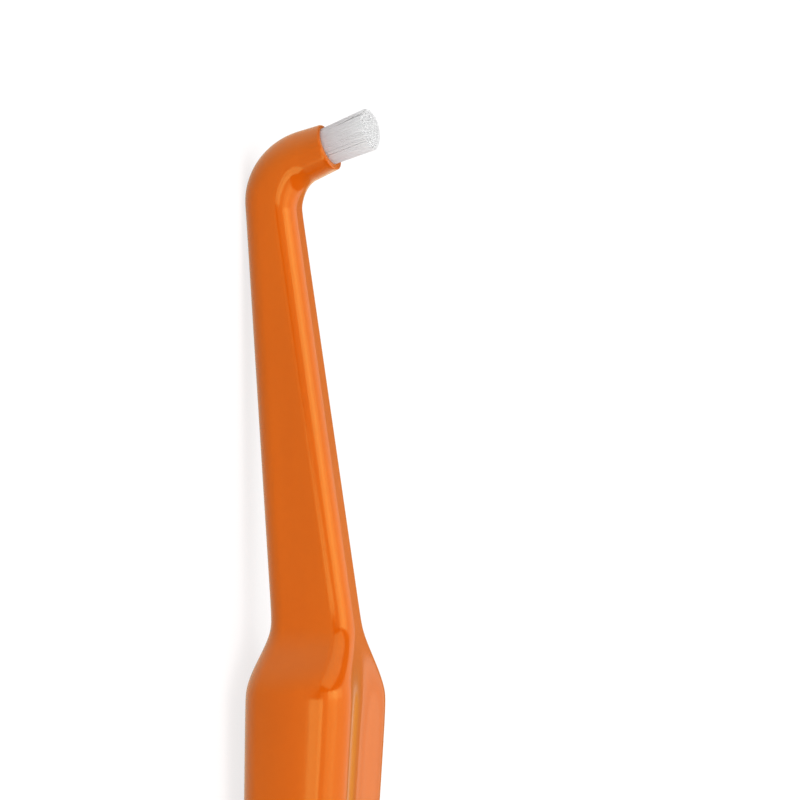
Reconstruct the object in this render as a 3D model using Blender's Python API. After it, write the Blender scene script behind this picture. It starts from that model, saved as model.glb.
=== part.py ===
"""A single tuft toothbrush lying on its back: +X runs to the head, +Z is the tuft's side."""

import math

import bmesh
import bpy
from mathutils import Matrix, Vector, geometry

MM = 0.001

# Handle, measured along its length from the butt
grip_length = 115.6 * MM
shoulder_length = 6.9 * MM
neck_length = 36.9 * MM
butt_plan_length = 7.0 * MM
butt_side_length = 4.2 * MM

# Handle, measured across
grip_width = 14.7 * MM
grip_depth = 10.0 * MM
grip_front_radius = 3.1 * MM
grip_back_radius = 2.6 * MM
grip_back_height = 1.52 * MM
crowned_front_radius = 2.2 * MM
crowned_back_radius = 1.9 * MM
side_crown_share = 0.15
crown_start_share = 0.42
crown_full_share = 0.68
neck_root_width = 5.15 * MM
neck_root_depth = 7.76 * MM
neck_root_height = 2.64 * MM
neck_top_width = 4.8 * MM
neck_top_depth = 4.72 * MM
neck_top_height = 0.1 * MM
neck_corner_radius = 1.75 * MM

# Thumb trough in the front of the grip
trough_length = 46.0 * MM
trough_depth = 0.7 * MM
trough_width_share = 0.68
trough_top_share = 0.65
trough_run_in_share = 0.85
trough_run_out_share = 0.55

# Elbow and socketed head
bend_radius = 4.6 * MM
elbow_swell = 0.4 * MM
head_taper = 0.47 * MM
head_straight_length = 2.5 * MM
head_tilt = math.radians(20.5)
lip_back_wall = 0.36 * MM
lip_front_wall = 0.5 * MM
lip_side_wall = 0.68 * MM
lip_edge_radius = 0.15 * MM
head_pinch_share = 0.35
head_pinch_power = 1.5
fullest_corner_share = 0.98

# Tuft of filaments, folded round the anchor in a blind bore
bore_diameter = 3.42 * MM
tuft_clearance = 0.08 * MM
tuft_recess = 0.25 * MM
tuft_cover = 0.72 * MM
fold_thickness = 0.55 * MM
tuft_side_length = 3.9 * MM
tuft_dome_height = 0.92 * MM
tuft_flare = math.radians(2.7)
tuft_trim_tilt = math.radians(8.5)
strand_rings = 10
strand_diameter = 0.13 * MM
strand_merge_share = 0.001
fold_edge_radius = 0.5 * MM

# Metal anchor plate, whose two ends bite into the bore's side walls
anchor_bite = 0.24 * MM
anchor_height = 1.5 * MM
anchor_thickness = 0.35 * MM
anchor_clearance = 0.1 * MM

# One overrun for every cut
cut_overrun = 0.5 * MM

# Facets round each form
corner_steps = 7
front_steps = 8
side_steps = 4
butt_steps = 9
shoulder_steps = 14
neck_steps = 6
elbow_steps = 18
head_steps = 3
lip_steps = 3
bore_steps = 40
root_steps = 36
fold_steps = 3

# The grip's plan and side outline: place along the grip, width, height of the back, and depth
grip_outline_shares = (
    (0.00, 0.815, 0.35, 0.78),
    (0.07, 0.815, 0.00, 0.84),
    (0.20, 0.82, 0.00, 0.87),
    (0.40, 0.84, 0.00, 0.84),
    (0.52, 0.86, 0.26, 0.81),
    (0.65, 0.90, 0.47, 0.83),
    (0.80, 0.955, 0.73, 0.885),
    (0.92, 0.988, 0.90, 0.957),
    (1.00, 1.00, 1.00, 1.00),
)
grip_station_shares = (0.07, 0.14, 0.25, 0.4, 0.46, 0.52, 0.58, 0.64, 0.7, 0.76, 0.82, 0.88, 0.94, 1.0)


def clear_scene():
    for old in list(bpy.data.objects):
        bpy.data.objects.remove(old, do_unlink=True)


def plastic(name, colour, roughness, metallic):
    material = bpy.data.materials.new(name)
    material.use_nodes = True
    shader = material.node_tree.nodes["Principled BSDF"]
    shader.inputs["Base Color"].default_value = (*colour, 1)
    shader.inputs["Roughness"].default_value = roughness
    shader.inputs["Metallic"].default_value = metallic
    return material


def add_object(name, mesh, material=None, parent=None):
    item = bpy.data.objects.new(name, mesh)
    bpy.context.scene.collection.objects.link(item)
    item.parent = parent
    if material:
        mesh.materials.append(material)
    return item


def eased(share):
    """Smooth step from 0 to 1 with level ends."""
    share = min(max(share, 0), 1)
    return share * share * (3 - 2 * share)


def between(start, end, share):
    return start + (end - start) * share


def slopes_through(places, values):
    """Slopes of a curve through the points that never swings past them."""
    steps = [
        (values[i + 1] - values[i]) / (places[i + 1] - places[i])
        for i in range(len(places) - 1)
    ]
    slopes = [steps[0]]
    for before, after in zip(steps, steps[1:]):
        level = before * after <= 0
        slopes.append(0 if level else 2 * before * after / (before + after))
    slopes.append(steps[-1])
    return slopes


def curve_through(places, values, place):
    """Smooth curve through hand-set points, read at one place."""
    slopes = slopes_through(places, values)
    i = 0
    while i < len(places) - 2 and place > places[i + 1]:
        i += 1
    span = places[i + 1] - places[i]
    t = (place - places[i]) / span
    rise = values[i + 1] - values[i]
    lean_in = span * slopes[i] - rise
    lean_out = span * slopes[i + 1] - rise
    return values[i] + rise * t + t * (1 - t) * (lean_in * (1 - t) - lean_out * t)


class Station:
    """One cross-section of the handle: where it is, how it leans and how it is shaped."""

    def __init__(self, x, z, lean, width, depth, front_radius, back_radius):
        self.middle = Vector((x, 0, z))
        self.lean = lean
        self.width = width
        self.depth = depth
        self.front_radius = front_radius
        self.back_radius = back_radius
        self.trough = 0
        self.pinch = 0
        self.crown = 0

    def outline(self):
        """Points of the section as (across, out), going round from the back."""
        half_width = self.width / 2
        half_depth = self.depth / 2
        most = fullest_corner_share * min(half_width, half_depth)
        corners = (
            (1, -1, min(self.back_radius, most), -90, side_steps),
            (1, 1, min(self.front_radius, most), 0, front_steps),
            (-1, 1, min(self.front_radius, most), 90, side_steps),
            (-1, -1, min(self.back_radius, most), 180, 1),
        )
        points = []
        for number, (side, face, radius, start, flat_steps) in enumerate(corners):
            for step in range(corner_steps + 1):
                angle = math.radians(start + 90 * step / corner_steps)
                across = side * (half_width - radius) + radius * math.cos(angle)
                out = face * (half_depth - radius) + radius * math.sin(angle)
                points.append((across, out))
            next_side, next_face, next_radius = corners[(number + 1) % len(corners)][:3]
            next_across = next_side * (half_width - (next_radius if side != next_side else 0))
            next_out = next_face * (half_depth - (next_radius if face != next_face else 0))
            begin_across, begin_out = points[-1]
            for step in range(1, flat_steps):
                share = step / flat_steps
                points.append((between(begin_across, next_across, share), between(begin_out, next_out, share)))
        return [self.shaped(across, out) for across, out in points]

    def shaped(self, across, out):
        """Crowns the sides, sinks the thumb trough and narrows the back of the head."""
        across *= 1 - self.crown * (2 * out / self.depth) ** 2
        if self.trough and out > 0:
            reach = abs(across) / (trough_width_share * self.width / 2)
            out -= self.trough * (1 - eased(reach))
        toward_back = max(0, -2 * out / self.depth) ** head_pinch_power
        return across * (1 - self.pinch * toward_back), out

    def placed(self, inset=0):
        outward = Vector((-math.sin(self.lean), 0, math.cos(self.lean)))
        across_scale = 1 - 2 * inset / self.width
        out_scale = 1 - 2 * inset / self.depth
        return [
            self.middle + Vector((0, across * across_scale, 0)) + outward * (out * out_scale)
            for across, out in self.outline()
        ]


def trough_at(x):
    """Depth of the thumb trough: full along the grip, fading out at both its ends."""
    top = grip_length + trough_top_share * shoulder_length
    run_in = trough_run_in_share * shoulder_length
    run_out = trough_run_out_share * trough_length
    rise = eased((top - x) / run_in)
    fall = eased((x - (top - trough_length)) / run_out)
    return trough_depth * rise * fall


def grip_station(x):
    places = [row[0] * grip_length for row in grip_outline_shares]
    width = grip_width * curve_through(places, [row[1] for row in grip_outline_shares], x)
    back = grip_back_height * curve_through(places, [row[2] for row in grip_outline_shares], x)
    depth = grip_depth * curve_through(places, [row[3] for row in grip_outline_shares], x)
    crowned = eased((x / grip_length - crown_start_share) / (crown_full_share - crown_start_share))
    station = Station(
        x,
        back + depth / 2,
        0,
        width,
        depth,
        between(grip_front_radius, crowned_front_radius, crowned),
        between(grip_back_radius, crowned_back_radius, crowned),
    )
    station.trough = trough_at(x)
    station.crown = side_crown_share * crowned
    return station


def butt_station(angle):
    """A ring of the rounded butt, at an angle from its tip."""
    x = butt_plan_length * (1 - math.cos(angle))
    station = grip_station(x)
    plan_share = math.sin(angle)
    toward_tip = max(0, 1 - x / butt_side_length)
    side_share = math.sqrt(1 - toward_tip**2)
    station.width *= plan_share
    station.depth *= side_share
    return station


def shoulder_station(share):
    x = grip_length + shoulder_length * share
    turn = eased(share)
    back = between(grip_back_height, neck_root_height, turn)
    front = between(grip_back_height + grip_depth, neck_root_height + neck_root_depth, share)
    station = Station(
        x,
        (back + front) / 2,
        0,
        between(grip_width, neck_root_width, turn),
        front - back,
        between(crowned_front_radius, neck_corner_radius, turn),
        between(crowned_back_radius, neck_corner_radius, turn),
    )
    station.trough = trough_at(x)
    station.crown = side_crown_share * (1 - turn)
    return station


def neck_station(share):
    back = between(neck_root_height, neck_top_height, share)
    depth = between(neck_root_depth, neck_top_depth, share)
    x = grip_length + shoulder_length + neck_length * share
    width = between(neck_root_width, neck_top_width, share)
    return Station(x, back + depth / 2, 0, width, depth, neck_corner_radius, neck_corner_radius)


def head_lean():
    """Angle from the floor up to the head's axis."""
    return math.pi / 2 - head_tilt


def lip_width():
    return bore_diameter + 2 * lip_side_wall


def lip_depth():
    return lip_back_wall + bore_diameter + lip_front_wall


def neck_fall():
    """Slope of the neck's centre line, down towards the head."""
    drop = (neck_root_height + neck_root_depth / 2) - (neck_top_height + neck_top_depth / 2)
    return math.atan2(drop, neck_length)


def elbow_station(share):
    """A section round the elbow; share runs from the neck to the straight of the head."""
    start = neck_station(1)
    heading = between(-neck_fall(), head_lean(), share)
    entry = -neck_fall()
    pivot = start.middle + bend_radius * Vector((-math.sin(entry), 0, math.cos(entry)))
    place = pivot - bend_radius * Vector((-math.sin(heading), 0, math.cos(heading)))
    corner_radius = between(neck_corner_radius, lip_width() / 2, eased(share))
    station = Station(
        place.x,
        place.z,
        head_lean() * share,
        between(neck_top_width, lip_width(), share),
        between(neck_top_depth, lip_depth() + head_taper, share),
        corner_radius,
        corner_radius,
    )
    station.depth += elbow_swell * math.sin(math.pi * share)
    station.pinch = head_pinch_share * eased(share)
    return station


def head_axis():
    return Vector((math.cos(head_lean()), 0, math.sin(head_lean())))


def head_station(share):
    station = elbow_station(1)
    station.middle = station.middle + head_axis() * head_straight_length * share
    station.depth = lip_depth() + head_taper * (1 - share)
    return station


def mouth_centre():
    """Centre of the bore at the lip, nearer to the head's back than to its front."""
    front_side = Vector((-math.sin(head_lean()), 0, math.cos(head_lean())))
    return head_station(1).middle + front_side * (lip_back_wall - lip_front_wall) / 2


def handle_rings():
    rings = []
    for step in range(1, butt_steps):
        rings.append(butt_station(math.pi / 2 * step / butt_steps).placed())
    for share in grip_station_shares:
        rings.append(grip_station(grip_length * share).placed())
    for step in range(1, shoulder_steps + 1):
        rings.append(shoulder_station(step / shoulder_steps).placed())
    for step in range(1, neck_steps + 1):
        rings.append(neck_station(step / neck_steps).placed())
    for step in range(1, elbow_steps + 1):
        rings.append(elbow_station(step / elbow_steps).placed())
    for step in range(1, head_steps + 1):
        straight = 1 - lip_edge_radius / head_straight_length
        rings.append(head_station(straight * step / head_steps).placed())
    for step in range(1, lip_steps + 1):
        angle = math.pi / 2 * step / lip_steps
        along = head_straight_length - lip_edge_radius * (1 - math.sin(angle))
        inset = lip_edge_radius * (1 - math.cos(angle))
        rings.append(head_station(along / head_straight_length).placed(inset))
    return rings


def lofted(name, rings):
    """Skins a row of rings and closes both ends."""
    form = bmesh.new()
    rows = [[form.verts.new(point) for point in ring] for ring in rings]
    count = len(rows[0])
    for lower, upper in zip(rows, rows[1:]):
        for i in range(count):
            j = (i + 1) % count
            form.faces.new((lower[i], upper[i], upper[j], lower[j]))
    form.faces.new(rows[0])
    form.faces.new(reversed(rows[-1]))
    bmesh.ops.recalc_face_normals(form, faces=form.faces)
    return finished(name, form)


def finished(name, form):
    mesh = bpy.data.meshes.new(name)
    form.to_mesh(mesh)
    form.free()
    return mesh


def smooth(mesh, angle):
    mesh.shade_smooth()
    mesh.set_sharp_from_angle(angle=math.radians(angle))


def cylinder(name, radius, bottom, top, steps):
    form = bmesh.new()
    bmesh.ops.create_cone(
        form,
        cap_ends=True,
        segments=steps,
        radius1=radius,
        radius2=radius,
        depth=top - bottom,
        matrix=Matrix.Translation((0, 0, (top + bottom) / 2)),
    )
    return finished(name, form)


def block(name, length, width, bottom, top):
    form = bmesh.new()
    place = Matrix.Translation((0, 0, (top + bottom) / 2))
    size = Matrix.Diagonal((length, width, top - bottom, 1))
    bmesh.ops.create_cube(form, size=1, matrix=place @ size)
    return finished(name, form)


def cut(target, cutter):
    cutter.hide_render = True
    cutter.display_type = "WIRE"
    boolean = target.modifiers.new(cutter.name, "BOOLEAN")
    boolean.operation = "DIFFERENCE"
    boolean.solver = "EXACT"
    boolean.object = cutter


def slot_top():
    """Height, from the mouth, of the top of the slot that the filaments leave for the anchor."""
    return -tuft_recess - tuft_cover


def anchor_top():
    return slot_top() - anchor_clearance


def anchor_bottom():
    return anchor_top() - anchor_height


def root_bottom():
    """Underside of the filaments, where they turn under the anchor."""
    return anchor_bottom() - anchor_clearance - fold_thickness


def bore_bottom():
    return root_bottom() - tuft_clearance


def anchor_room(name, width):
    """Cutter for the room that the anchor stands in, of a given width."""
    return block(
        name,
        anchor_thickness + 2 * anchor_clearance,
        width,
        anchor_bottom() - anchor_clearance,
        slot_top(),
    )


def anchor_width():
    return bore_diameter + 2 * anchor_bite


def make_handle(material, frame, head):
    mesh = lofted("handle", handle_rings())
    smooth(mesh, 35)
    handle = add_object("handle", mesh, material, frame)
    bore = cylinder("bore_cutter", bore_diameter / 2, bore_bottom(), cut_overrun, bore_steps)
    cut(handle, add_object("bore_cutter", bore, None, head))
    notches = anchor_room("notch_cutter", anchor_width() + 2 * anchor_clearance)
    cut(handle, add_object("notch_cutter", notches, None, head))


def make_anchor(material, head):
    mesh = block("anchor", anchor_thickness, anchor_width(), anchor_bottom(), anchor_top())
    add_object("anchor", mesh, material, head)


def root_radius():
    return bore_diameter / 2 - tuft_clearance


def strand_places():
    """Centres of the strands: one in the middle, then rings that each hold six more."""
    pitch = (root_radius() - strand_diameter) / strand_rings
    places = [Vector((0, 0))]
    for ring in range(1, strand_rings + 1):
        count = 6 * ring
        for number in range(count):
            angle = 2 * math.pi * (number + ring % 2 / 2) / count
            places.append(Vector((math.cos(angle), math.sin(angle))) * pitch * ring)
    return places


def triangle_round(centre):
    """Foot of one strand, pointing away from the middle of the tuft."""
    start = math.atan2(centre.y, centre.x)
    points = []
    for corner in range(3):
        angle = start + 2 * math.pi * corner / 3
        points.append(centre + Vector((math.cos(angle), math.sin(angle))) * strand_diameter / 2)
    return points


def strand_tip(foot, centre):
    """Where a corner of a strand ends, on the flared sides and the domed, slightly tilted top."""
    share = min(centre.length / root_radius(), 1)
    length = tuft_side_length + tuft_dome_height * math.sqrt(1 - share**2)
    length += math.tan(tuft_trim_tilt) * centre.x
    spread = 1 + math.tan(tuft_flare) * length / root_radius()
    place = centre * spread + (foot - centre)
    return Vector((place.x, place.y, length))


def flat_root_top(centres):
    """Triangles of the root's top, in which every strand has its own foot."""
    points = []
    feet = []
    for centre in centres:
        first = len(points)
        points.extend(triangle_round(centre))
        feet.append((first, first + 1, first + 2))
    rim = len(points)
    for step in range(root_steps):
        angle = 2 * math.pi * step / root_steps
        points.append(Vector((math.cos(angle), math.sin(angle))) * root_radius())
    rim_edges = [(rim + i, rim + (i + 1) % root_steps) for i in range(root_steps)]
    merge_distance = strand_diameter * strand_merge_share
    places, _, faces, _, _, sources = geometry.delaunay_2d_cdt(points, rim_edges, feet, 1, merge_distance)
    return places, faces, sources


def make_tuft(material, head):
    centres = strand_places()
    places, faces, sources = flat_root_top(centres)
    form = bmesh.new()
    verts = [form.verts.new((place.x, place.y, -tuft_recess)) for place in places]
    strands = []
    for face, foot in zip(faces, sources):
        top = form.faces.new([verts[i] for i in face])
        if foot:
            strands.append((top, centres[foot[0]]))
    add_root_wall(form)
    for top, centre in strands:
        tip = bmesh.ops.extrude_discrete_faces(form, faces=[top])["faces"][0]
        for vert in tip.verts:
            vert.co = strand_tip(Vector((vert.co.x, vert.co.y)), centre)
    bmesh.ops.recalc_face_normals(form, faces=form.faces)
    tuft = add_object("bristle_tuft", finished("bristle_tuft", form), material, head)
    slot = anchor_room("slot_cutter", bore_diameter + 2 * cut_overrun)
    cut(tuft, add_object("slot_cutter", slot, None, head))


def add_root_wall(form):
    """Drops the rim down the bore and rounds it under, as the folded filaments do."""
    levels = []
    for step in range(fold_steps + 1):
        angle = math.pi / 2 * step / fold_steps
        radius = root_radius() - fold_edge_radius * (1 - math.cos(angle))
        height = root_bottom() + fold_edge_radius * (1 - math.sin(angle))
        levels.append((radius, height))
    loop = [edge for edge in form.edges if edge.is_boundary]
    for radius, height in levels:
        grown = bmesh.ops.extrude_edge_only(form, edges=loop)["geom"]
        loop = [item for item in grown if isinstance(item, bmesh.types.BMEdge)]
        for vert in {vert for edge in loop for vert in edge.verts}:
            flat = Vector((vert.co.x, vert.co.y)).normalized() * radius
            vert.co = (flat.x, flat.y, height)
    bmesh.ops.contextual_create(form, geom=loop)


def stand_on_floor(frame, names):
    """Moves the whole brush so that its box is centred and its lowest point is on the floor."""
    bpy.context.view_layer.update()
    graph = bpy.context.evaluated_depsgraph_get()
    corners = []
    for name in names:
        item = bpy.data.objects[name].evaluated_get(graph)
        corners.extend(item.matrix_world @ vert.co for vert in item.data.vertices)
    low = Vector([min(corner[i] for corner in corners) for i in range(3)])
    high = Vector([max(corner[i] for corner in corners) for i in range(3)])
    middle = (low + high) / 2
    frame.location = (-middle.x, -middle.y, -low.z)


def main():
    clear_scene()
    frame = add_object("brush_frame", None)
    head = add_object("head_frame", None, None, frame)
    head.location = mouth_centre()
    head.rotation_euler = (0, head_tilt, 0)
    orange = plastic("orange_plastic", (0.68, 0.16, 0.012), 0.22, 0)
    white = plastic("white_filament", (0.86, 0.85, 0.85), 0.5, 0)
    metal = plastic("anchor_metal", (0.78, 0.62, 0.36), 0.35, 1)
    make_handle(orange, frame, head)
    make_tuft(white, head)
    make_anchor(metal, head)
    stand_on_floor(frame, ("handle", "bristle_tuft", "anchor"))


main()
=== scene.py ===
import math

import bmesh
import bpy
from mathutils import Matrix, Vector


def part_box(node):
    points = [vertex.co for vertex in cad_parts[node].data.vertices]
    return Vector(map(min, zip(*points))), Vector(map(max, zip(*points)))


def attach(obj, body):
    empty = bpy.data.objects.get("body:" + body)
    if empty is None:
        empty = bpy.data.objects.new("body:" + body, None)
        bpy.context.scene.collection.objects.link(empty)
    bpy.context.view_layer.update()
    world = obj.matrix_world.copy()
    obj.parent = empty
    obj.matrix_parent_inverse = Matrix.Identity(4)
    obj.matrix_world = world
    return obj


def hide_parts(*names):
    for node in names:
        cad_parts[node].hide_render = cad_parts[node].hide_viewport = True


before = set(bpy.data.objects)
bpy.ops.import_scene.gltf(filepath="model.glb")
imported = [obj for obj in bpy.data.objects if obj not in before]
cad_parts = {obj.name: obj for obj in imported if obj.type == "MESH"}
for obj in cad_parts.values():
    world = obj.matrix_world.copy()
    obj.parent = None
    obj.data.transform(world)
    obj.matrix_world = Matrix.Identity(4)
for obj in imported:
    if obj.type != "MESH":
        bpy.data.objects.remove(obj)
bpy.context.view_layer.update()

MM = 0.001

# Handle, along its length from the butt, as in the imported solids
grip_length = 115.6 * MM
shoulder_length = 6.9 * MM
neck_length = 36.9 * MM
butt_plan_length = 7.0 * MM
butt_side_length = 4.2 * MM
butt_first_angle = math.radians(10)

# Handle, across
grip_width = 14.7 * MM
grip_depth = 10.0 * MM
grip_front_radius = 3.1 * MM
grip_back_radius = 2.6 * MM
crowned_front_radius = 2.2 * MM
crowned_back_radius = 1.9 * MM
side_crown = 0.15
crown_start = 0.42
crown_full = 0.68
grip_back_height = 1.52 * MM
neck_root_width = 5.15 * MM
neck_root_depth = 7.76 * MM
neck_root_height = 2.64 * MM
neck_top_width = 4.8 * MM
neck_top_depth = 4.72 * MM
neck_top_height = 0.1 * MM
neck_corner_radius = 1.75 * MM

# The grip's outline from the butt, as shares of its length, width, back height and depth
grip_outline_shares = (
    (0.00, 0.815, 0.35, 0.78),
    (0.07, 0.815, 0.00, 0.84),
    (0.20, 0.82, 0.00, 0.87),
    (0.40, 0.84, 0.00, 0.84),
    (0.52, 0.86, 0.26, 0.81),
    (0.65, 0.90, 0.47, 0.83),
    (0.80, 0.955, 0.73, 0.885),
    (0.92, 0.988, 0.90, 0.957),
    (1.00, 1.00, 1.00, 1.00),
)

# Thumb trough
trough_length = 46.0 * MM
trough_depth = 0.7 * MM
trough_width_share = 0.68
trough_top_share = 0.65
trough_run_in_share = 0.85
trough_run_out_share = 0.55

# Elbow and socketed head
bend_radius = 4.6 * MM
elbow_swell = 0.4 * MM
head_taper = 0.47 * MM
head_straight_length = 2.5 * MM
head_tilt = math.radians(20.5)
lip_back_wall = 0.36 * MM
lip_front_wall = 0.5 * MM
lip_side_wall = 0.68 * MM
lip_edge_radius = 0.15 * MM
bore_edge_radius = 0.05 * MM
head_pinch_share = 0.35
head_pinch_power = 1.5
fullest_corner_share = 0.98

# Bore, tuft and anchor
bore_diameter = 3.42 * MM
root_clearance = 0.02 * MM
tuft_recess = 0.25 * MM
tuft_cover = 0.72 * MM
fold_thickness = 0.55 * MM
fold_edge_radius = 0.5 * MM
tuft_side_length = 3.9 * MM
tuft_dome_height = 0.92 * MM
tuft_trim_tilt = math.radians(8.5)
tuft_flare = math.radians(2.7)
anchor_bite = 0.24 * MM
anchor_height = 1.5 * MM
anchor_thickness = 0.35 * MM
anchor_clearance = 0.1 * MM

# Fineness of the handle's skin
corner_steps = 12
side_steps = 6
front_steps = 26
back_steps = 12
butt_steps = 24
grip_steps = 130
shoulder_steps = 36
neck_steps = 64
elbow_steps = 52
head_steps = 8
lip_steps = 6
bore_edge_steps = 3
bore_steps = 10
blending_rounds = 10
blended_grip_steps = 43

# Edges that turn more sharply than these aren't smoothed over
handle_edge_angle = math.radians(40)
tuft_edge_angle = math.radians(50)

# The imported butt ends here, a little short of a full round
tip_x = butt_plan_length * (1 - math.cos(butt_first_angle))


def eased(share):
    """Smooth step from 0 to 1 with level ends."""
    share = min(max(share, 0), 1)
    return share * share * (3 - 2 * share)


def between(start, end, share):
    return start + (end - start) * share


def curve_through(places, values, place):
    """Smooth curve through given points that never swings past them."""
    steps = [
        (values[i + 1] - values[i]) / (places[i + 1] - places[i]) for i in range(len(places) - 1)
    ]
    slopes = [steps[0]]
    for before, after in zip(steps, steps[1:]):
        slopes.append(0 if before * after <= 0 else 2 * before * after / (before + after))
    slopes.append(steps[-1])
    i = 0
    while i < len(places) - 2 and place > places[i + 1]:
        i += 1
    span = places[i + 1] - places[i]
    t = (place - places[i]) / span
    rise = values[i + 1] - values[i]
    lean_in = span * slopes[i] - rise
    lean_out = span * slopes[i + 1] - rise
    return values[i] + rise * t + t * (1 - t) * (lean_in * (1 - t) - lean_out * t)


class Section:
    """One cross-section of the handle: where it is, how it leans and how it is shaped."""

    def __init__(
        self, x, z, width, depth, front_radius, back_radius, lean=0, trough=0, pinch=0, crown=0
    ):
        self.middle = Vector((x, 0, z))
        self.lean = lean
        self.width = width
        self.depth = depth
        self.front_radius = front_radius
        self.back_radius = back_radius
        self.trough = trough
        self.pinch = pinch
        self.crown = crown

    def outline(self):
        """Points of the section as (across, out), going round from the back."""
        half_width = self.width / 2
        half_depth = self.depth / 2
        most = fullest_corner_share * min(half_width, half_depth)
        back = min(self.back_radius, most)
        front = min(self.front_radius, most)
        corners = ((1, -1, back, -90), (1, 1, front, 0), (-1, 1, front, 90), (-1, -1, back, 180))
        flats = (side_steps, front_steps, side_steps, back_steps)
        points = []
        for number, (side, face, radius, start) in enumerate(corners):
            for step in range(corner_steps + 1):
                angle = math.radians(start + 90 * step / corner_steps)
                across = side * (half_width - radius) + radius * math.cos(angle)
                out = face * (half_depth - radius) + radius * math.sin(angle)
                points.append((across, out))
            next_side, next_face, next_radius, _ = corners[(number + 1) % len(corners)]
            angle = math.radians(start + 90)
            end = (
                next_side * (half_width - next_radius) + next_radius * math.cos(angle),
                next_face * (half_depth - next_radius) + next_radius * math.sin(angle),
            )
            begin = points[-1]
            for step in range(1, flats[number]):
                share = step / flats[number]
                points.append((between(begin[0], end[0], share), between(begin[1], end[1], share)))
        return [self.shaped(across, out) for across, out in points]

    def shaped(self, across, out):
        """Crowns the sides, sinks the thumb trough and narrows the back of the head."""
        across *= 1 - self.crown * (2 * out / self.depth) ** 2
        if self.trough and out > 0:
            reach = abs(across) / (trough_width_share * self.width / 2)
            out -= self.trough * (1 - eased(reach))
        toward_back = max(0, -2 * out / self.depth) ** head_pinch_power
        return across * (1 - self.pinch * toward_back), out

    def placed(self, inset=0):
        outward = Vector((-math.sin(self.lean), 0, math.cos(self.lean)))
        across_scale = 1 - 2 * inset / self.width
        out_scale = 1 - 2 * inset / self.depth
        return [
            self.middle + Vector((0, across * across_scale, 0)) + outward * (out * out_scale)
            for across, out in self.outline()
        ]


def trough_at(x):
    """Depth of the thumb trough: full along the grip, fading out at both its ends."""
    top = grip_length + trough_top_share * shoulder_length
    rise = eased((top - x) / (trough_run_in_share * shoulder_length))
    fall = eased((x - (top - trough_length)) / (trough_run_out_share * trough_length))
    return trough_depth * rise * fall


def grip_section(x):
    places = [row[0] * grip_length for row in grip_outline_shares]
    width, back, depth = (
        size * curve_through(places, [row[column] for row in grip_outline_shares], x)
        for column, size in ((1, grip_width), (2, grip_back_height), (3, grip_depth))
    )
    crowned = eased((x / grip_length - crown_start) / (crown_full - crown_start))
    return Section(
        x,
        back + depth / 2,
        width,
        depth,
        between(grip_front_radius, crowned_front_radius, crowned),
        between(grip_back_radius, crowned_back_radius, crowned),
        trough=trough_at(x),
        crown=side_crown * crowned,
    )


def butt_section(angle):
    """A ring of the rounded butt, at an angle from its tip."""
    x = between(tip_x, butt_plan_length, 1 - math.cos(angle))
    section = grip_section(x)
    section.width *= math.sin(angle)
    toward_tip = max(0, 1 - (x - tip_x) / (butt_side_length - tip_x))
    section.depth *= math.sqrt(1 - toward_tip**2)
    return section


def shoulder_section(share):
    x = grip_length + shoulder_length * share
    turn = eased(share)
    back = between(grip_back_height, neck_root_height, turn)
    front = between(grip_back_height + grip_depth, neck_root_height + neck_root_depth, share)
    return Section(
        x,
        (back + front) / 2,
        between(grip_width, neck_root_width, turn),
        front - back,
        between(crowned_front_radius, neck_corner_radius, turn),
        between(crowned_back_radius, neck_corner_radius, turn),
        trough=trough_at(x),
        crown=side_crown * (1 - turn),
    )


def neck_section(share):
    back = between(neck_root_height, neck_top_height, share)
    depth = between(neck_root_depth, neck_top_depth, share)
    x = grip_length + shoulder_length + neck_length * share
    width = between(neck_root_width, neck_top_width, share)
    return Section(x, back + depth / 2, width, depth, neck_corner_radius, neck_corner_radius)


head_lean = math.pi / 2 - head_tilt
lip_width = bore_diameter + 2 * lip_side_wall
lip_depth = lip_back_wall + bore_diameter + lip_front_wall
head_axis = Vector((math.cos(head_lean), 0, math.sin(head_lean)))
head_front = Vector((-math.sin(head_lean), 0, math.cos(head_lean)))


def elbow_section(share):
    """A section round the elbow; share runs from the neck to the straight of the head."""
    start = neck_section(1)
    neck_drop = (neck_root_height + neck_root_depth / 2) - (neck_top_height + neck_top_depth / 2)
    entry = -math.atan2(neck_drop, neck_length)
    heading = between(entry, head_lean, share)
    pivot = start.middle + bend_radius * Vector((-math.sin(entry), 0, math.cos(entry)))
    place = pivot - bend_radius * Vector((-math.sin(heading), 0, math.cos(heading)))
    corner_radius = between(neck_corner_radius, lip_width / 2, eased(share))
    depth = between(neck_top_depth, lip_depth + head_taper, share)
    depth += elbow_swell * math.sin(math.pi * share)
    return Section(
        place.x,
        place.z,
        between(neck_top_width, lip_width, share),
        depth,
        corner_radius,
        corner_radius,
        lean=head_lean * share,
        pinch=head_pinch_share * eased(share),
    )


def head_section(share):
    section = elbow_section(1)
    section.middle = section.middle + head_axis * head_straight_length * share
    section.depth = lip_depth + head_taper * (1 - share)
    return section


mouth_centre = head_section(1).middle + head_front * (lip_back_wall - lip_front_wall) / 2
slot_top = -tuft_recess - tuft_cover
anchor_top = slot_top - anchor_clearance
anchor_bottom = anchor_top - anchor_height
root_bottom = anchor_bottom - anchor_clearance - fold_thickness
bore_bottom = root_bottom - root_clearance


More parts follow.
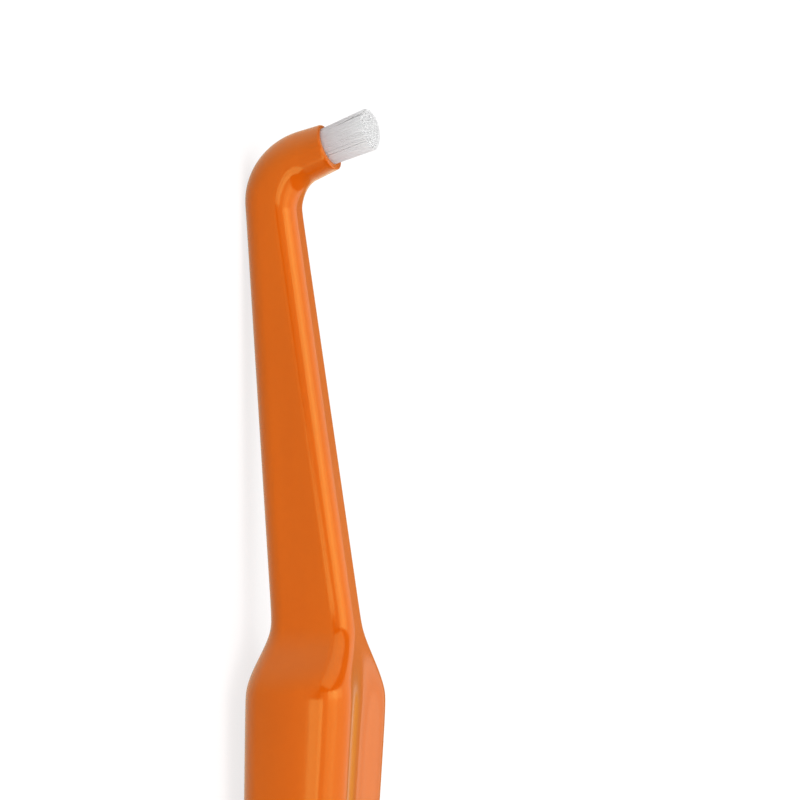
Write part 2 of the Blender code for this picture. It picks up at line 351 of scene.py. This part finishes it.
def body_rings():
    """Rings from the butt to the end of the elbow, evened out where one form runs into the next."""
    rings = []
    for step in range(1, butt_steps):
        rings.append(butt_section(math.pi / 2 * step / butt_steps).placed())
    for step in range(grip_steps + 1):
        rings.append(grip_section(between(butt_plan_length, grip_length, step / grip_steps)).placed())
    firm = len(rings) - blended_grip_steps
    for step in range(1, shoulder_steps + 1):
        rings.append(shoulder_section(step / shoulder_steps).placed())
    for step in range(1, neck_steps + 1):
        rings.append(neck_section(step / neck_steps).placed())
    for step in range(1, elbow_steps + 1):
        rings.append(elbow_section(step / elbow_steps).placed())
    for _ in range(blending_rounds):
        softer = list(rings)
        for i in range(firm, len(rings) - 1):
            softer[i] = [
                (before + 2 * here + after) / 4
                for before, here, after in zip(rings[i - 1], rings[i], rings[i + 1])
            ]
        rings = softer
    return rings


def lip_rings():
    rings = []
    for step in range(1, head_steps + 1):
        straight = 1 - lip_edge_radius / head_straight_length
        rings.append(head_section(straight * step / head_steps).placed())
    for step in range(1, lip_steps + 1):
        angle = math.pi / 2 * step / lip_steps
        along = head_straight_length - lip_edge_radius * (1 - math.sin(angle))
        inset = lip_edge_radius * (1 - math.cos(angle))
        rings.append(head_section(along / head_straight_length).placed(inset))
    return rings


def bore_rings(outer):
    """Rings over the end face, round the bore's edge and down to its bottom."""
    angles = [
        math.atan2((point - mouth_centre).dot(head_front), (point - mouth_centre).y) for point in outer
    ]

    def circle(radius, depth):
        return [
            mouth_centre
            + Vector((0, 1, 0)) * radius * math.cos(angle)
            + head_front * radius * math.sin(angle)
            - head_axis * depth
            for angle in angles
        ]

    bore_radius = bore_diameter / 2
    rings = []
    for step in range(bore_edge_steps + 1):
        angle = math.pi / 2 * step / bore_edge_steps
        rings.append(
            circle(
                bore_radius + bore_edge_radius * (1 - math.sin(angle)),
                bore_edge_radius * (1 - math.cos(angle)),
            )
        )
    for step in range(1, bore_steps + 1):
        rings.append(circle(bore_radius, between(bore_edge_radius, -bore_bottom, step / bore_steps)))
    return rings


def skinned(name, rings):
    """Skins a row of rings and closes both ends with a fan."""
    form = bmesh.new()
    rows = [[form.verts.new(point) for point in ring] for ring in rings]
    count = len(rows[0])
    for lower, upper in zip(rows, rows[1:]):
        for i in range(count):
            j = (i + 1) % count
            form.faces.new((lower[i], upper[i], upper[j], lower[j]))
    for row in (rows[0], rows[-1]):
        middle = form.verts.new(sum((vert.co for vert in row), Vector()) / count)
        for i in range(count):
            form.faces.new((row[i], row[(i + 1) % count], middle))
    bmesh.ops.recalc_face_normals(form, faces=form.faces)
    return finished(name, form)


def finished(name, form):
    mesh = bpy.data.meshes.new(name)
    form.to_mesh(mesh)
    form.free()
    return mesh


def add_piece(name, mesh, material=None):
    piece = bpy.data.objects.new(name, mesh)
    bpy.context.scene.collection.objects.link(piece)
    if material:
        mesh.materials.append(material)
    return piece


def block(length, width, bottom, top, place):
    form = bmesh.new()
    middle = Matrix.Translation((0, 0, (top + bottom) / 2))
    size = Matrix.Diagonal((length, width, top - bottom, 1))
    bmesh.ops.create_cube(form, size=1, matrix=place @ middle @ size)
    return finished("block", form)


def baked(piece):
    """Applies a piece's modifiers for good."""
    graph = bpy.context.evaluated_depsgraph_get()
    mesh = bpy.data.meshes.new_from_object(piece.evaluated_get(graph))
    piece.modifiers.clear()
    old = piece.data
    piece.data = mesh
    mesh.name = piece.name
    bpy.data.meshes.remove(old)


def cut_room(piece, width, place):
    """Cuts the room that the anchor stands in, of a given width."""
    room = anchor_thickness + 2 * anchor_clearance
    cutter = add_piece("cutter", block(room, width, anchor_bottom - anchor_clearance, slot_top, place))
    cut = piece.modifiers.new("room", "BOOLEAN")
    cut.operation = "DIFFERENCE"
    cut.solver = "EXACT"
    cut.object = cutter
    baked(piece)
    bpy.data.objects.remove(cutter, do_unlink=True)


# Where the head stands in the frame
lengthwise = Vector((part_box("handle")[0].x - tip_x, 0, 0))
head_place = Matrix.Translation(mouth_centre + lengthwise) @ Matrix.Rotation(head_tilt, 4, "Y")


def make_handle(material):
    body = body_rings()
    lip = lip_rings()
    mesh = skinned("grip_and_head", body + lip + bore_rings(lip[-1]))
    mesh.transform(Matrix.Translation(lengthwise))
    handle = add_piece("grip_and_head", mesh, material)
    cut_room(handle, bore_diameter + 2 * anchor_bite + 2 * anchor_clearance, head_place)
    handle.data.shade_smooth()
    handle.data.set_sharp_from_angle(angle=handle_edge_angle)
    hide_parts("handle")
    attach(handle, "root")


# Filaments, in rings on their fused root
filament_rings = 16
ring_growth = 6
filament_diameter = 0.115 * MM
filament_sides = 6
filament_points = 8
filament_start = 0.45 * MM
tip_gathering = 2.6
tip_roundness = 90.0
tip_flat_share = 0.3
edge_room_share = 0.62
foot_shift_share = 0.16
root_radius = bore_diameter / 2 - root_clearance
root_steps = 64
fold_steps = 6

# How the filaments differ from each other
length_scatter = 0.04 * MM
lean_scatter = 0.004
stray_lean = 0.06
stray_rarity = 24.0
stray_edge_power = 2.0
wave_height = 0.010 * MM
wave_spread = 9000.0
wave_density = 380.0
turn_seed = 7
across_seed = 11
along_seed = 12
length_seed = 21
shade_seed = 22
stray_seed = 23
bearing_seed = 24


def feed(tree, value, socket):
    if isinstance(value, bpy.types.NodeSocket):
        tree.links.new(value, socket)
    else:
        socket.default_value = value


def add_node(tree, kind, inputs=None, **settings):
    node = tree.nodes.new(kind)
    for name, value in settings.items():
        setattr(node, name, value)
    for name, value in (inputs or {}).items():
        feed(tree, value, node.inputs[name])
    return node


def sums(tree, operation, *values):
    node = add_node(tree, "ShaderNodeMath", operation=operation)
    for socket, value in zip(node.inputs, values):
        feed(tree, value, socket)
    return node.outputs[0]


def added(tree, first, second):
    return sums(tree, "ADD", first, second)


def less(tree, first, second):
    return sums(tree, "SUBTRACT", first, second)


def times(tree, first, second):
    return sums(tree, "MULTIPLY", first, second)


def over(tree, first, second):
    return sums(tree, "DIVIDE", first, second)


def vector_sums(tree, operation, *values):
    node = add_node(tree, "ShaderNodeVectorMath", operation=operation)
    sockets = [node.inputs[0], node.inputs["Scale"]] if operation == "SCALE" else node.inputs
    for socket, value in zip(sockets, values):
        feed(tree, value, socket)
    return node.outputs["Value" if operation in ("LENGTH", "DOT_PRODUCT") else "Vector"]


def random_number(tree, low, high, seed, number=None):
    """A number by chance. Its sockets go by place, because each type of number has its own."""
    node = add_node(tree, "FunctionNodeRandomValue", data_type="FLOAT")
    feed(tree, low, node.inputs[2])
    feed(tree, high, node.inputs[3])
    if number is not None:
        feed(tree, number, node.inputs["ID"])
    feed(tree, seed, node.inputs["Seed"])
    return node.outputs[1]


def stored(tree, geometry, name, kind, value):
    node = add_node(tree, "GeometryNodeStoreNamedAttribute", data_type=kind, domain="POINT")
    feed(tree, geometry, node.inputs["Geometry"])
    feed(tree, name, node.inputs["Name"])
    feed(tree, value, node.inputs["Value"])
    return node.outputs["Geometry"]


def read_back(tree, name, kind):
    node = add_node(tree, "GeometryNodeInputNamedAttribute", {"Name": name}, data_type=kind)
    return node.outputs["Attribute"]


def one_filament(tree, inputs):
    """A round-tipped filament, one unit long, standing on its root."""
    line = add_node(tree, "GeometryNodeCurvePrimitiveLine", {"End": (0, 0, 1)})
    fine = add_node(
        tree, "GeometryNodeResampleCurve", {"Curve": line.outputs[0], "Count": filament_points}
    )
    place = add_node(tree, "GeometryNodeSplineParameter").outputs["Factor"]
    height = less(tree, 1.0, sums(tree, "POWER", less(tree, 1.0, place), tip_gathering))
    upright = add_node(tree, "ShaderNodeCombineXYZ", {"Z": height})
    gathered = add_node(
        tree, "GeometryNodeSetPosition", {"Geometry": fine.outputs[0], "Position": upright.outputs[0]}
    )
    roundness = sums(tree, "POWER", times(tree, less(tree, 1.0, height), tip_roundness), 0.5)
    radius = sums(tree, "MINIMUM", 1.0, sums(tree, "MAXIMUM", roundness, tip_flat_share))
    thickness = add_node(
        tree, "GeometryNodeSetCurveRadius", {"Curve": gathered.outputs[0], "Radius": radius}
    )
    outline = add_node(
        tree,
        "GeometryNodeCurvePrimitiveCircle",
        {"Resolution": filament_sides, "Radius": over(tree, inputs["Filament Diameter"], 2.0)},
    )
    return add_node(
        tree,
        "GeometryNodeCurveToMesh",
        {"Curve": thickness.outputs[0], "Profile Curve": outline.outputs[0], "Fill Caps": True},
    ).outputs[0]


def points_inside(tree, ring):
    """How many points lie inside a ring: one in the middle, then six more in each ring."""
    pairs = times(tree, ring, less(tree, ring, 1.0))
    return added(tree, 1.0, times(tree, ring_growth / 2, pairs))


def filament_feet(tree, inputs):
    """Points in rings, each ring turned and each point shifted a little by chance."""
    number = add_node(tree, "GeometryNodeInputIndex").outputs[0]
    inside = added(tree, ring_growth / 2, times(tree, 2 * ring_growth, number))
    ring = over(tree, less(tree, sums(tree, "SQRT", inside), ring_growth / 2), ring_growth)
    ring = sums(tree, "MAXIMUM", sums(tree, "CEIL", ring), 0.0)
    in_ring = less(tree, number, points_inside(tree, ring))
    full = sums(tree, "MAXIMUM", times(tree, ring_growth, ring), 1.0)
    turn = random_number(tree, 0.0, 1.0, inputs["Seed"], ring)
    angle = times(tree, over(tree, added(tree, in_ring, turn), full), 2 * math.pi)
    edge_room = times(tree, edge_room_share, inputs["Filament Diameter"])
    most = less(tree, inputs["Root Radius"], edge_room)
    reach = times(tree, over(tree, ring, inputs["Rings"]), most)
    shift = times(tree, inputs["Filament Diameter"], foot_shift_share)
    back = times(tree, shift, -1.0)
    across = times(tree, reach, sums(tree, "COSINE", angle))
    across = added(tree, across, random_number(tree, back, shift, across_seed))
    along = times(tree, reach, sums(tree, "SINE", angle))
    along = added(tree, along, random_number(tree, back, shift, along_seed))
    foot = add_node(tree, "ShaderNodeCombineXYZ", {"X": across, "Y": along, "Z": 0.0}).outputs[0]
    count = points_inside(tree, added(tree, inputs["Rings"], 1.0))
    points = add_node(tree, "GeometryNodePoints", {"Count": count, "Position": foot}).outputs[0]
    return stored(tree, points, "foot", "FLOAT_VECTOR", foot)


def filament_lengths(tree, inputs, foot, share):
    """Lengths that make the dome and its slanted trim, each a little different."""
    dome = sums(tree, "SQRT", less(tree, 1.0, times(tree, share, share)))
    length = added(tree, inputs["Side Length"], times(tree, dome, inputs["Dome Height"]))
    toward_back = add_node(tree, "ShaderNodeSeparateXYZ", {"Vector": foot}).outputs["X"]
    length = added(tree, length, times(tree, inputs["Trim Slope"], toward_back))
    scatter = inputs["Length Scatter"]
    shorter = times(tree, scatter, -1.0)
    return added(tree, length, random_number(tree, shorter, scatter, length_seed))


def filament_lean(tree, inputs, share):
    """A slight lean each, and a strong one for the few strays near the edge."""
    rarity = sums(tree, "POWER", random_number(tree, 0.0, 1.0, stray_seed), stray_rarity)
    at_edge = times(tree, inputs["Stray Lean"], sums(tree, "POWER", share, stray_edge_power))
    amount = added(tree, inputs["Lean Scatter"], times(tree, rarity, at_edge))
    bearing = random_number(tree, 0.0, 2 * math.pi, bearing_seed)
    return add_node(
        tree,
        "ShaderNodeCombineXYZ",
        {
            "X": times(tree, amount, sums(tree, "COSINE", bearing)),
            "Y": times(tree, amount, sums(tree, "SINE", bearing)),
        },
    ).outputs[0]


def filament_shape(tree, inputs, rise, height, position):
    """How far each point of a filament is moved by its flare, lean, waves and start."""
    foot = read_back(tree, "foot", "FLOAT_VECTOR")
    flare_share = over(tree, times(tree, inputs["Flare"], height), inputs["Root Radius"])
    flare = vector_sums(tree, "SCALE", foot, flare_share)
    lean = read_back(tree, "lean", "FLOAT_VECTOR")
    bend = vector_sums(tree, "SCALE", lean, times(tree, height, rise))
    place = vector_sums(
        tree,
        "ADD",
        vector_sums(tree, "SCALE", foot, wave_spread),
        vector_sums(tree, "SCALE", position, wave_density),
    )
    ripple = add_node(
        tree,
        "ShaderNodeTexNoise",
        {"Vector": place, "Scale": 1.0, "Detail": 1.0},
        noise_dimensions="3D",
    )
    centred = vector_sums(tree, "SUBTRACT", ripple.outputs["Color"], (0.5, 0.5, 0.5))
    swing = times(tree, times(tree, inputs["Wave"], 2.0), rise)
    wave = vector_sums(tree, "MULTIPLY", vector_sums(tree, "SCALE", centred, swing), (1.0, 1.0, 0.0))
    drop = add_node(tree, "ShaderNodeCombineXYZ", {"Z": times(tree, inputs["Start Depth"], -1.0)})
    return vector_sums(
        tree,
        "ADD",
        vector_sums(tree, "ADD", flare, bend),
        vector_sums(tree, "ADD", wave, drop.outputs[0]),
    )


def tuft_inputs(tree):
    """Adds the named inputs; returns their values by identifier, and the material's identifier."""
    tree.interface.new_socket("Geometry", in_out="OUTPUT", socket_type="NodeSocketGeometry")
    tree.interface.new_socket("Root", in_out="INPUT", socket_type="NodeSocketGeometry")
    values = {}
    for name, value, kind in (
        ("Root Radius", root_radius, "Float"),
        ("Filament Diameter", filament_diameter, "Float"),
        ("Side Length", tuft_side_length + filament_start, "Float"),
        ("Dome Height", tuft_dome_height, "Float"),
        ("Trim Slope", math.tan(tuft_trim_tilt), "Float"),
        ("Start Depth", filament_start, "Float"),
        ("Flare", math.tan(tuft_flare), "Float"),
        ("Length Scatter", length_scatter, "Float"),
        ("Lean Scatter", lean_scatter, "Float"),
        ("Stray Lean", stray_lean, "Float"),
        ("Wave", wave_height, "Float"),
        ("Rings", filament_rings, "Int"),
        ("Seed", turn_seed, "Int"),
    ):
        socket = tree.interface.new_socket(name, in_out="INPUT", socket_type=f"NodeSocket{kind}")
        values[socket.identifier] = value
    material = tree.interface.new_socket(
        "Material", in_out="INPUT", socket_type="NodeSocketMaterial"
    )
    return values, material.identifier


def tuft_tree():
    """Plants the filaments on the root: domed, slightly flared, and each a little different."""
    tree = bpy.data.node_groups.new("filament_tuft", "GeometryNodeTree")
    values, material_name = tuft_inputs(tree)
    inputs = add_node(tree, "NodeGroupInput").outputs

    feet = filament_feet(tree, inputs)
    foot = read_back(tree, "foot", "FLOAT_VECTOR")
    from_middle = over(tree, vector_sums(tree, "LENGTH", foot), inputs["Root Radius"])
    share = sums(tree, "MINIMUM", 1.0, from_middle)
    feet = stored(tree, feet, "reach", "FLOAT", filament_lengths(tree, inputs, foot, share))
    feet = stored(tree, feet, "shade", "FLOAT", random_number(tree, 0.0, 1.0, shade_seed))
    feet = stored(tree, feet, "lean", "FLOAT_VECTOR", filament_lean(tree, inputs, share))

    reach = read_back(tree, "reach", "FLOAT")
    scale = add_node(tree, "ShaderNodeCombineXYZ", {"X": 1.0, "Y": 1.0, "Z": reach})
    planted = add_node(
        tree,
        "GeometryNodeInstanceOnPoints",
        {"Points": feet, "Instance": one_filament(tree, inputs), "Scale": scale.outputs[0]},
    )
    real = add_node(tree, "GeometryNodeRealizeInstances", {"Geometry": planted.outputs[0]}).outputs[0]

    position = add_node(tree, "GeometryNodeInputPosition").outputs[0]
    height = add_node(tree, "ShaderNodeSeparateXYZ", {"Vector": position}).outputs["Z"]
    rise = over(tree, height, read_back(tree, "reach", "FLOAT"))
    offset = filament_shape(tree, inputs, rise, height, position)
    real = stored(tree, real, "rise", "FLOAT", rise)
    shaped = add_node(tree, "GeometryNodeSetPosition", {"Geometry": real, "Offset": offset}).outputs[0]
    both = add_node(tree, "GeometryNodeJoinGeometry")
    tree.links.new(shaped, both.inputs[0])
    tree.links.new(inputs["Root"], both.inputs[0])
    coloured = add_node(
        tree,
        "GeometryNodeSetMaterial",
        {"Geometry": both.outputs[0], "Material": inputs["Material"]},
    )
    add_node(tree, "NodeGroupOutput", {"Geometry": coloured.outputs[0]})
    return tree, values, material_name


def root_plug():
    """The filaments' fused root, rounded under where they fold round the anchor."""
    rows = [(root_radius, -tuft_recess), (root_radius, (root_bottom - tuft_recess) / 2)]
    for step in range(fold_steps + 1):
        angle = math.pi / 2 * step / fold_steps
        rows.append(
            (
                root_radius - fold_edge_radius * (1 - math.cos(angle)),
                root_bottom + fold_edge_radius * (1 - math.sin(angle)),
            )
        )
    turns = [2 * math.pi * step / root_steps for step in range(root_steps)]
    rings = [
        [Vector((radius * math.cos(turn), radius * math.sin(turn), height)) for turn in turns]
        for radius, height in rows
    ]
    return skinned("root", rings)


def make_tuft(material):
    tuft = add_piece("filament_tuft", root_plug())
    right_through = 2 * bore_diameter
    cut_room(tuft, right_through, Matrix())
    tree, values, material_name = tuft_tree()
    planting = tuft.modifiers.new("filaments", "NODES")
    planting.node_group = tree
    for name, value in values.items():
        planting[name] = value
    planting[material_name] = material
    baked(tuft)
    tuft.data.transform(head_place)
    tuft.data.shade_smooth()
    tuft.data.set_sharp_from_angle(angle=tuft_edge_angle)
    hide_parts("bristle_tuft")
    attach(tuft, "root")


def new_material(name):
    material = bpy.data.materials.new(name)
    material.use_nodes = True
    return material, material.node_tree, material.node_tree.nodes["Principled BSDF"]


def set_inputs(tree, shader, values):
    for name, value in values.items():
        feed(tree, value, shader.inputs[name])


def noise_at(tree, place, scale=1.0, detail=2.0, stretch=(1, 1, 1)):
    mapped = add_node(tree, "ShaderNodeMapping", {"Vector": place, "Scale": stretch})
    node = add_node(
        tree,
        "ShaderNodeTexNoise",
        {"Vector": mapped.outputs[0], "Scale": scale, "Detail": detail},
    )
    return node.outputs["Fac"]


def ramp(tree, fac, stops):
    node = add_node(tree, "ShaderNodeValToRGB", {"Fac": fac})
    elements = node.color_ramp.elements
    while len(elements) < len(stops):
        elements.new(0.5)
    for element, (place, colour) in zip(elements, stops):
        element.position = place
        element.color = (*colour, 1)
    return node.outputs["Color"]


def ranged(tree, value, low, high, new_low, new_high):
    node = add_node(
        tree,
        "ShaderNodeMapRange",
        {"Value": value, "From Min": low, "From Max": high, "To Min": new_low, "To Max": new_high},
    )
    return node.outputs[0]


def bumped(tree, height, distance, normal=None):
    node = add_node(tree, "ShaderNodeBump", {"Height": height, "Distance": distance})
    if normal:
        feed(tree, normal, node.inputs["Normal"])
    return node.outputs[0]


# Moulded plastic: long flow marks, faint clouds, smudges in the gloss, a slow swell and a fine grain
plastic_tones = (
    (0.35, (0.57, 0.074, 0.0003)),
    (0.50, (0.59, 0.079, 0.0003)),
    (0.65, (0.61, 0.084, 0.0004)),
)
plastic_flow_stretch = (45, 260, 260)
plastic_flow_share = 0.8
plastic_cloud_scale = 1400.0
plastic_smudge_scale = 90.0
plastic_smudge_range = (0.4, 0.7)
plastic_roughness = (0.12, 0.17)
plastic_grain_scale = 9000.0
plastic_grain_height = 0.0012 * MM
plastic_swell_scale = 420.0
plastic_swell_height = 0.010 * MM
plastic_gloss = 0.6
plastic_gloss_tint = (1.0, 0.90, 0.24, 1)
plastic_sheen = 0.42
plastic_sheen_roughness = 0.5
plastic_sheen_tint = (1.0, 0.64, 0.04, 1)


def orange_plastic():
    material, tree, shader = new_material("moulded_orange_plastic")
    place = add_node(tree, "ShaderNodeTexCoord").outputs["Object"]
    flow = noise_at(tree, place, detail=3.0, stretch=plastic_flow_stretch)
    cloud = noise_at(tree, place, plastic_cloud_scale)
    flow_part = times(tree, flow, plastic_flow_share)
    tone = added(tree, flow_part, times(tree, cloud, 1 - plastic_flow_share))
    smudge = noise_at(tree, place, plastic_smudge_scale, detail=3.0)
    grain = noise_at(tree, place, plastic_grain_scale)
    swell = noise_at(tree, place, plastic_swell_scale, detail=1.0)
    fine = bumped(tree, grain, plastic_grain_height)
    set_inputs(
        tree,
        shader,
        {
            "Base Color": ramp(tree, tone, plastic_tones),
            "Roughness": ranged(tree, smudge, *plastic_smudge_range, *plastic_roughness),
            "Normal": bumped(tree, swell, plastic_swell_height, fine),
            "Specular IOR Level": plastic_gloss,
            "Specular Tint": plastic_gloss_tint,
            "Sheen Weight": plastic_sheen,
            "Sheen Roughness": plastic_sheen_roughness,
            "Sheen Tint": plastic_sheen_tint,
        },
    )
    return material


# Nylon filaments: white at their tips, darkened toward their roots by painted shade with a painted
# pink cast of light bounced off the orange head, each a little lighter or darker by chance, and a
# little translucent
nylon_painted_root_shade_tones = (
    (0.10, (0.62, 0.575, 0.58)),
    (0.55, (0.74, 0.715, 0.72)),
    (0.95, (0.86, 0.86, 0.86)),
)
nylon_speckle = 0.08
nylon_mottle = 0.12
nylon_cloud_scale = 900.0
nylon_cloud_range = (0.3, 0.7)
nylon_roughness = (0.32, 0.45)
nylon_grain_scale = 20000.0
nylon_grain_height = 0.0015 * MM
nylon_glow_through = 0.4
nylon_glow_depth = 0.3 * MM


def nylon_filament():
    material, tree, shader = new_material("white_nylon_filament")
    place = add_node(tree, "ShaderNodeTexCoord").outputs["Object"]
    shade = add_node(tree, "ShaderNodeAttribute", attribute_name="shade").outputs["Fac"]
    rise = add_node(tree, "ShaderNodeAttribute", attribute_name="rise").outputs["Fac"]
    cloud = noise_at(tree, place, nylon_cloud_scale)
    speckle = times(tree, less(tree, shade, 0.5), nylon_speckle)
    mottle = times(tree, less(tree, cloud, 0.5), nylon_mottle)
    # Height up the filament sets the tone: the grey, pinkish roots are painted shade and painted
    # orange reflection, not the nylon's own colour
    tone = added(tree, rise, added(tree, speckle, mottle))
    grain = noise_at(tree, place, nylon_grain_scale, detail=1.0)
    set_inputs(
        tree,
        shader,
        {
            "Base Color": ramp(tree, tone, nylon_painted_root_shade_tones),
            "Roughness": ranged(tree, cloud, *nylon_cloud_range, *nylon_roughness),
            "Normal": bumped(tree, grain, nylon_grain_height),
            "Subsurface Weight": nylon_glow_through,
            "Subsurface Radius": (1.0, 1.0, 1.0),
            "Subsurface Scale": nylon_glow_depth,
        },
    )
    return material


# Cut brass: fine lines along the strip
brass_tones = (
    (0.3, (0.70, 0.52, 0.27)),
    (0.7, (0.80, 0.64, 0.38)),
)
brass_line_stretch = (1500, 16000, 1500)
brass_line_range = (0.3, 0.7)
brass_roughness = (0.28, 0.42)
brass_line_height = 0.004 * MM


def brass_strip():
    material, tree, shader = new_material("plain_cut_brass_strip")
    place = add_node(tree, "ShaderNodeTexCoord").outputs["Object"]
    lines = noise_at(tree, place, detail=3.0, stretch=brass_line_stretch)
    set_inputs(
        tree,
        shader,
        {
            "Base Color": ramp(tree, lines, brass_tones),
            "Roughness": ranged(tree, lines, *brass_line_range, *brass_roughness),
            "Normal": bumped(tree, lines, brass_line_height),
            "Metallic": 1.0,
        },
    )
    return material


# Floor: how it lights the brush, how its own shadows show, and how far it glows toward white
floor_bounce = (0.5, 0.5, 0.5)
floor_shade = (0.24, 0.24, 0.24)
floor_glow = 0.78
floor_half_size = 6.0


def make_floor():
    """A plain white floor that reads as white and still takes the brush's shadow."""
    form = bmesh.new()
    bmesh.ops.create_grid(form, x_segments=1, y_segments=1, size=floor_half_size)
    material = bpy.data.materials.new("white_floor")
    material.use_nodes = True
    tree = material.node_tree
    tree.nodes.clear()
    paper = add_node(tree, "ShaderNodeBsdfDiffuse", {"Color": (*floor_bounce, 1)})
    shade = add_node(tree, "ShaderNodeBsdfDiffuse", {"Color": (*floor_shade, 1)})
    glow = add_node(tree, "ShaderNodeEmission", {"Color": (1, 1, 1, 1), "Strength": floor_glow})
    white = add_node(tree, "ShaderNodeAddShader", {0: shade.outputs[0], 1: glow.outputs[0]})
    path = add_node(tree, "ShaderNodeLightPath").outputs
    seen = sums(tree, "MAXIMUM", path["Is Camera Ray"], path["Is Glossy Ray"])
    seen = sums(tree, "MAXIMUM", seen, path["Is Transmission Ray"])
    both = add_node(
        tree, "ShaderNodeMixShader", {0: seen, 1: paper.outputs[0], 2: white.outputs[0]}
    )
    add_node(tree, "ShaderNodeOutputMaterial", {"Surface": both.outputs[0]})
    floor = add_piece("floor", finished("floor", form), material)


# Two arches of strip softboxes, end to end: angle from the camera's side, level at grip and at head
arch_strips = (
    (22, 0.80, 0.60),
    (38, 1.00, 0.80),
    (54, 1.90, 2.90),
    (70, 2.30, 3.90),
    (86, 1.60, 2.70),
    (102, 1.45, 1.50),
    (118, 1.50, 1.50),
    (134, 1.40, 1.35),
    (150, 0.80, 0.90),
)
arch_radius = 0.8
grip_arch_middle = -0.135
grip_arch_length = 0.53
head_arch_middle = 0.315
head_arch_length = 0.37
strip_spread = math.radians(16)

# One low softbox beside the grip, and one beyond the head
grip_light_turn = math.radians(14)
grip_light_spread = math.radians(26)
grip_light_distance = 0.25
grip_light_middle = -0.104
grip_light_length = 0.352
grip_light_level = 2.3
end_light_turn = math.radians(60)
end_light_lean = math.radians(62)
end_light_distance = 0.8
end_light_size = 0.55
end_light_level = 1.5
aim_height = 4.0 * MM

# The sky is white up to the horizon's height, and dims to the dome's strength above it
horizon_height = 0.02
dome_height = 0.12
dome_strength = 0.18


def add_softbox(name, middle, turn, distance, length, height, level, lean=0):
    """A softbox of one brightness that faces the brush, by its angles over it and toward the head."""
    light = bpy.data.lights.new(name, "AREA")
    light.shape = "RECTANGLE"
    light.size = length
    light.size_y = height
    light.energy = math.pi * level * length * height
    lamp = bpy.data.objects.new(name, light)
    bpy.context.scene.collection.objects.link(lamp)
    outward = math.cos(lean)
    toward = Vector((math.sin(lean), outward * math.cos(turn), outward * math.sin(turn)))
    lamp.location = Vector((middle, 0, aim_height)) + toward * distance
    lamp.rotation_mode = "QUATERNION"
    lamp.rotation_quaternion = (-toward).to_track_quat("-Z", "Y")
    lamp.visible_camera = False


def light_the_studio():
    """A dim dome, two arches of strip softboxes, a low one at the grip and one beyond the head."""
    world = bpy.data.worlds.new("studio")
    bpy.context.scene.world = world
    world.use_nodes = True
    tree = world.node_tree
    place = add_node(tree, "ShaderNodeTexCoord").outputs["Generated"]
    height = add_node(tree, "ShaderNodeSeparateXYZ", {"Vector": place}).outputs["Z"]
    strength = ranged(tree, height, horizon_height, dome_height, 1.0, dome_strength)
    background = tree.nodes["Background"]
    background.inputs["Color"].default_value = (1, 1, 1, 1)
    feed(tree, strength, background.inputs["Strength"])
    shoulder_middle = grip_length + shoulder_length / 2 + lengthwise.x
    strip_height = 2 * arch_radius * math.tan(strip_spread / 2)
    for angle, grip_level, head_level in arch_strips:
        for part, middle, length, level in (
            ("grip", grip_arch_middle, grip_arch_length, grip_level),
            ("head", head_arch_middle, head_arch_length, head_level),
        ):
            add_softbox(
                f"{part}_arch_softbox_{angle}",
                middle,
                math.radians(angle),
                arch_radius,
                length,
                strip_height,
                level,
            )
    add_softbox(
        "grip_softbox",
        grip_light_middle,
        grip_light_turn,
        grip_light_distance,
        grip_light_length,
        2 * grip_light_distance * math.tan(grip_light_spread / 2),
        grip_light_level,
    )
    add_softbox(
        "end_softbox",
        shoulder_middle,
        end_light_turn,
        end_light_distance,
        end_light_size,
        end_light_size,
        end_light_level,
        end_light_lean,
    )


# Camera, as in the photograph: it looks across the brush from its side, with the head up
camera_tilt = math.radians(19.5)
camera_distance = 1.0
view_height = 72.0 * MM
sensor_width = 36.0
view_middle_along = 142.36 * MM
view_middle_across = -4.56 * MM
view_middle_up = 12.87 * MM
nearest_seen = 0.05
farthest_seen = 50


def add_camera():
    camera = bpy.data.cameras.new("camera")
    camera.sensor_width = sensor_width
    camera.lens = sensor_width * camera_distance / view_height
    camera.clip_start = nearest_seen
    camera.clip_end = farthest_seen
    right = Vector((0, -math.sin(camera_tilt), math.cos(camera_tilt)))
    up = Vector((1, 0, 0))
    back = right.cross(up)
    target = Vector((view_middle_along + lengthwise.x, view_middle_across, view_middle_up))
    item = bpy.data.objects.new("camera", camera)
    bpy.context.scene.collection.objects.link(item)
    turn = Matrix((right, up, back)).transposed().to_4x4()
    item.matrix_world = Matrix.Translation(target + back * camera_distance) @ turn
    bpy.context.scene.camera = item


add_camera()
make_handle(orange_plastic())
make_tuft(nylon_filament())
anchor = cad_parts["anchor"]
anchor.data.materials.clear()
anchor.data.materials.append(brass_strip())
make_floor()
light_the_studio()
bpy.context.scene.view_settings.view_transform = "Standard"
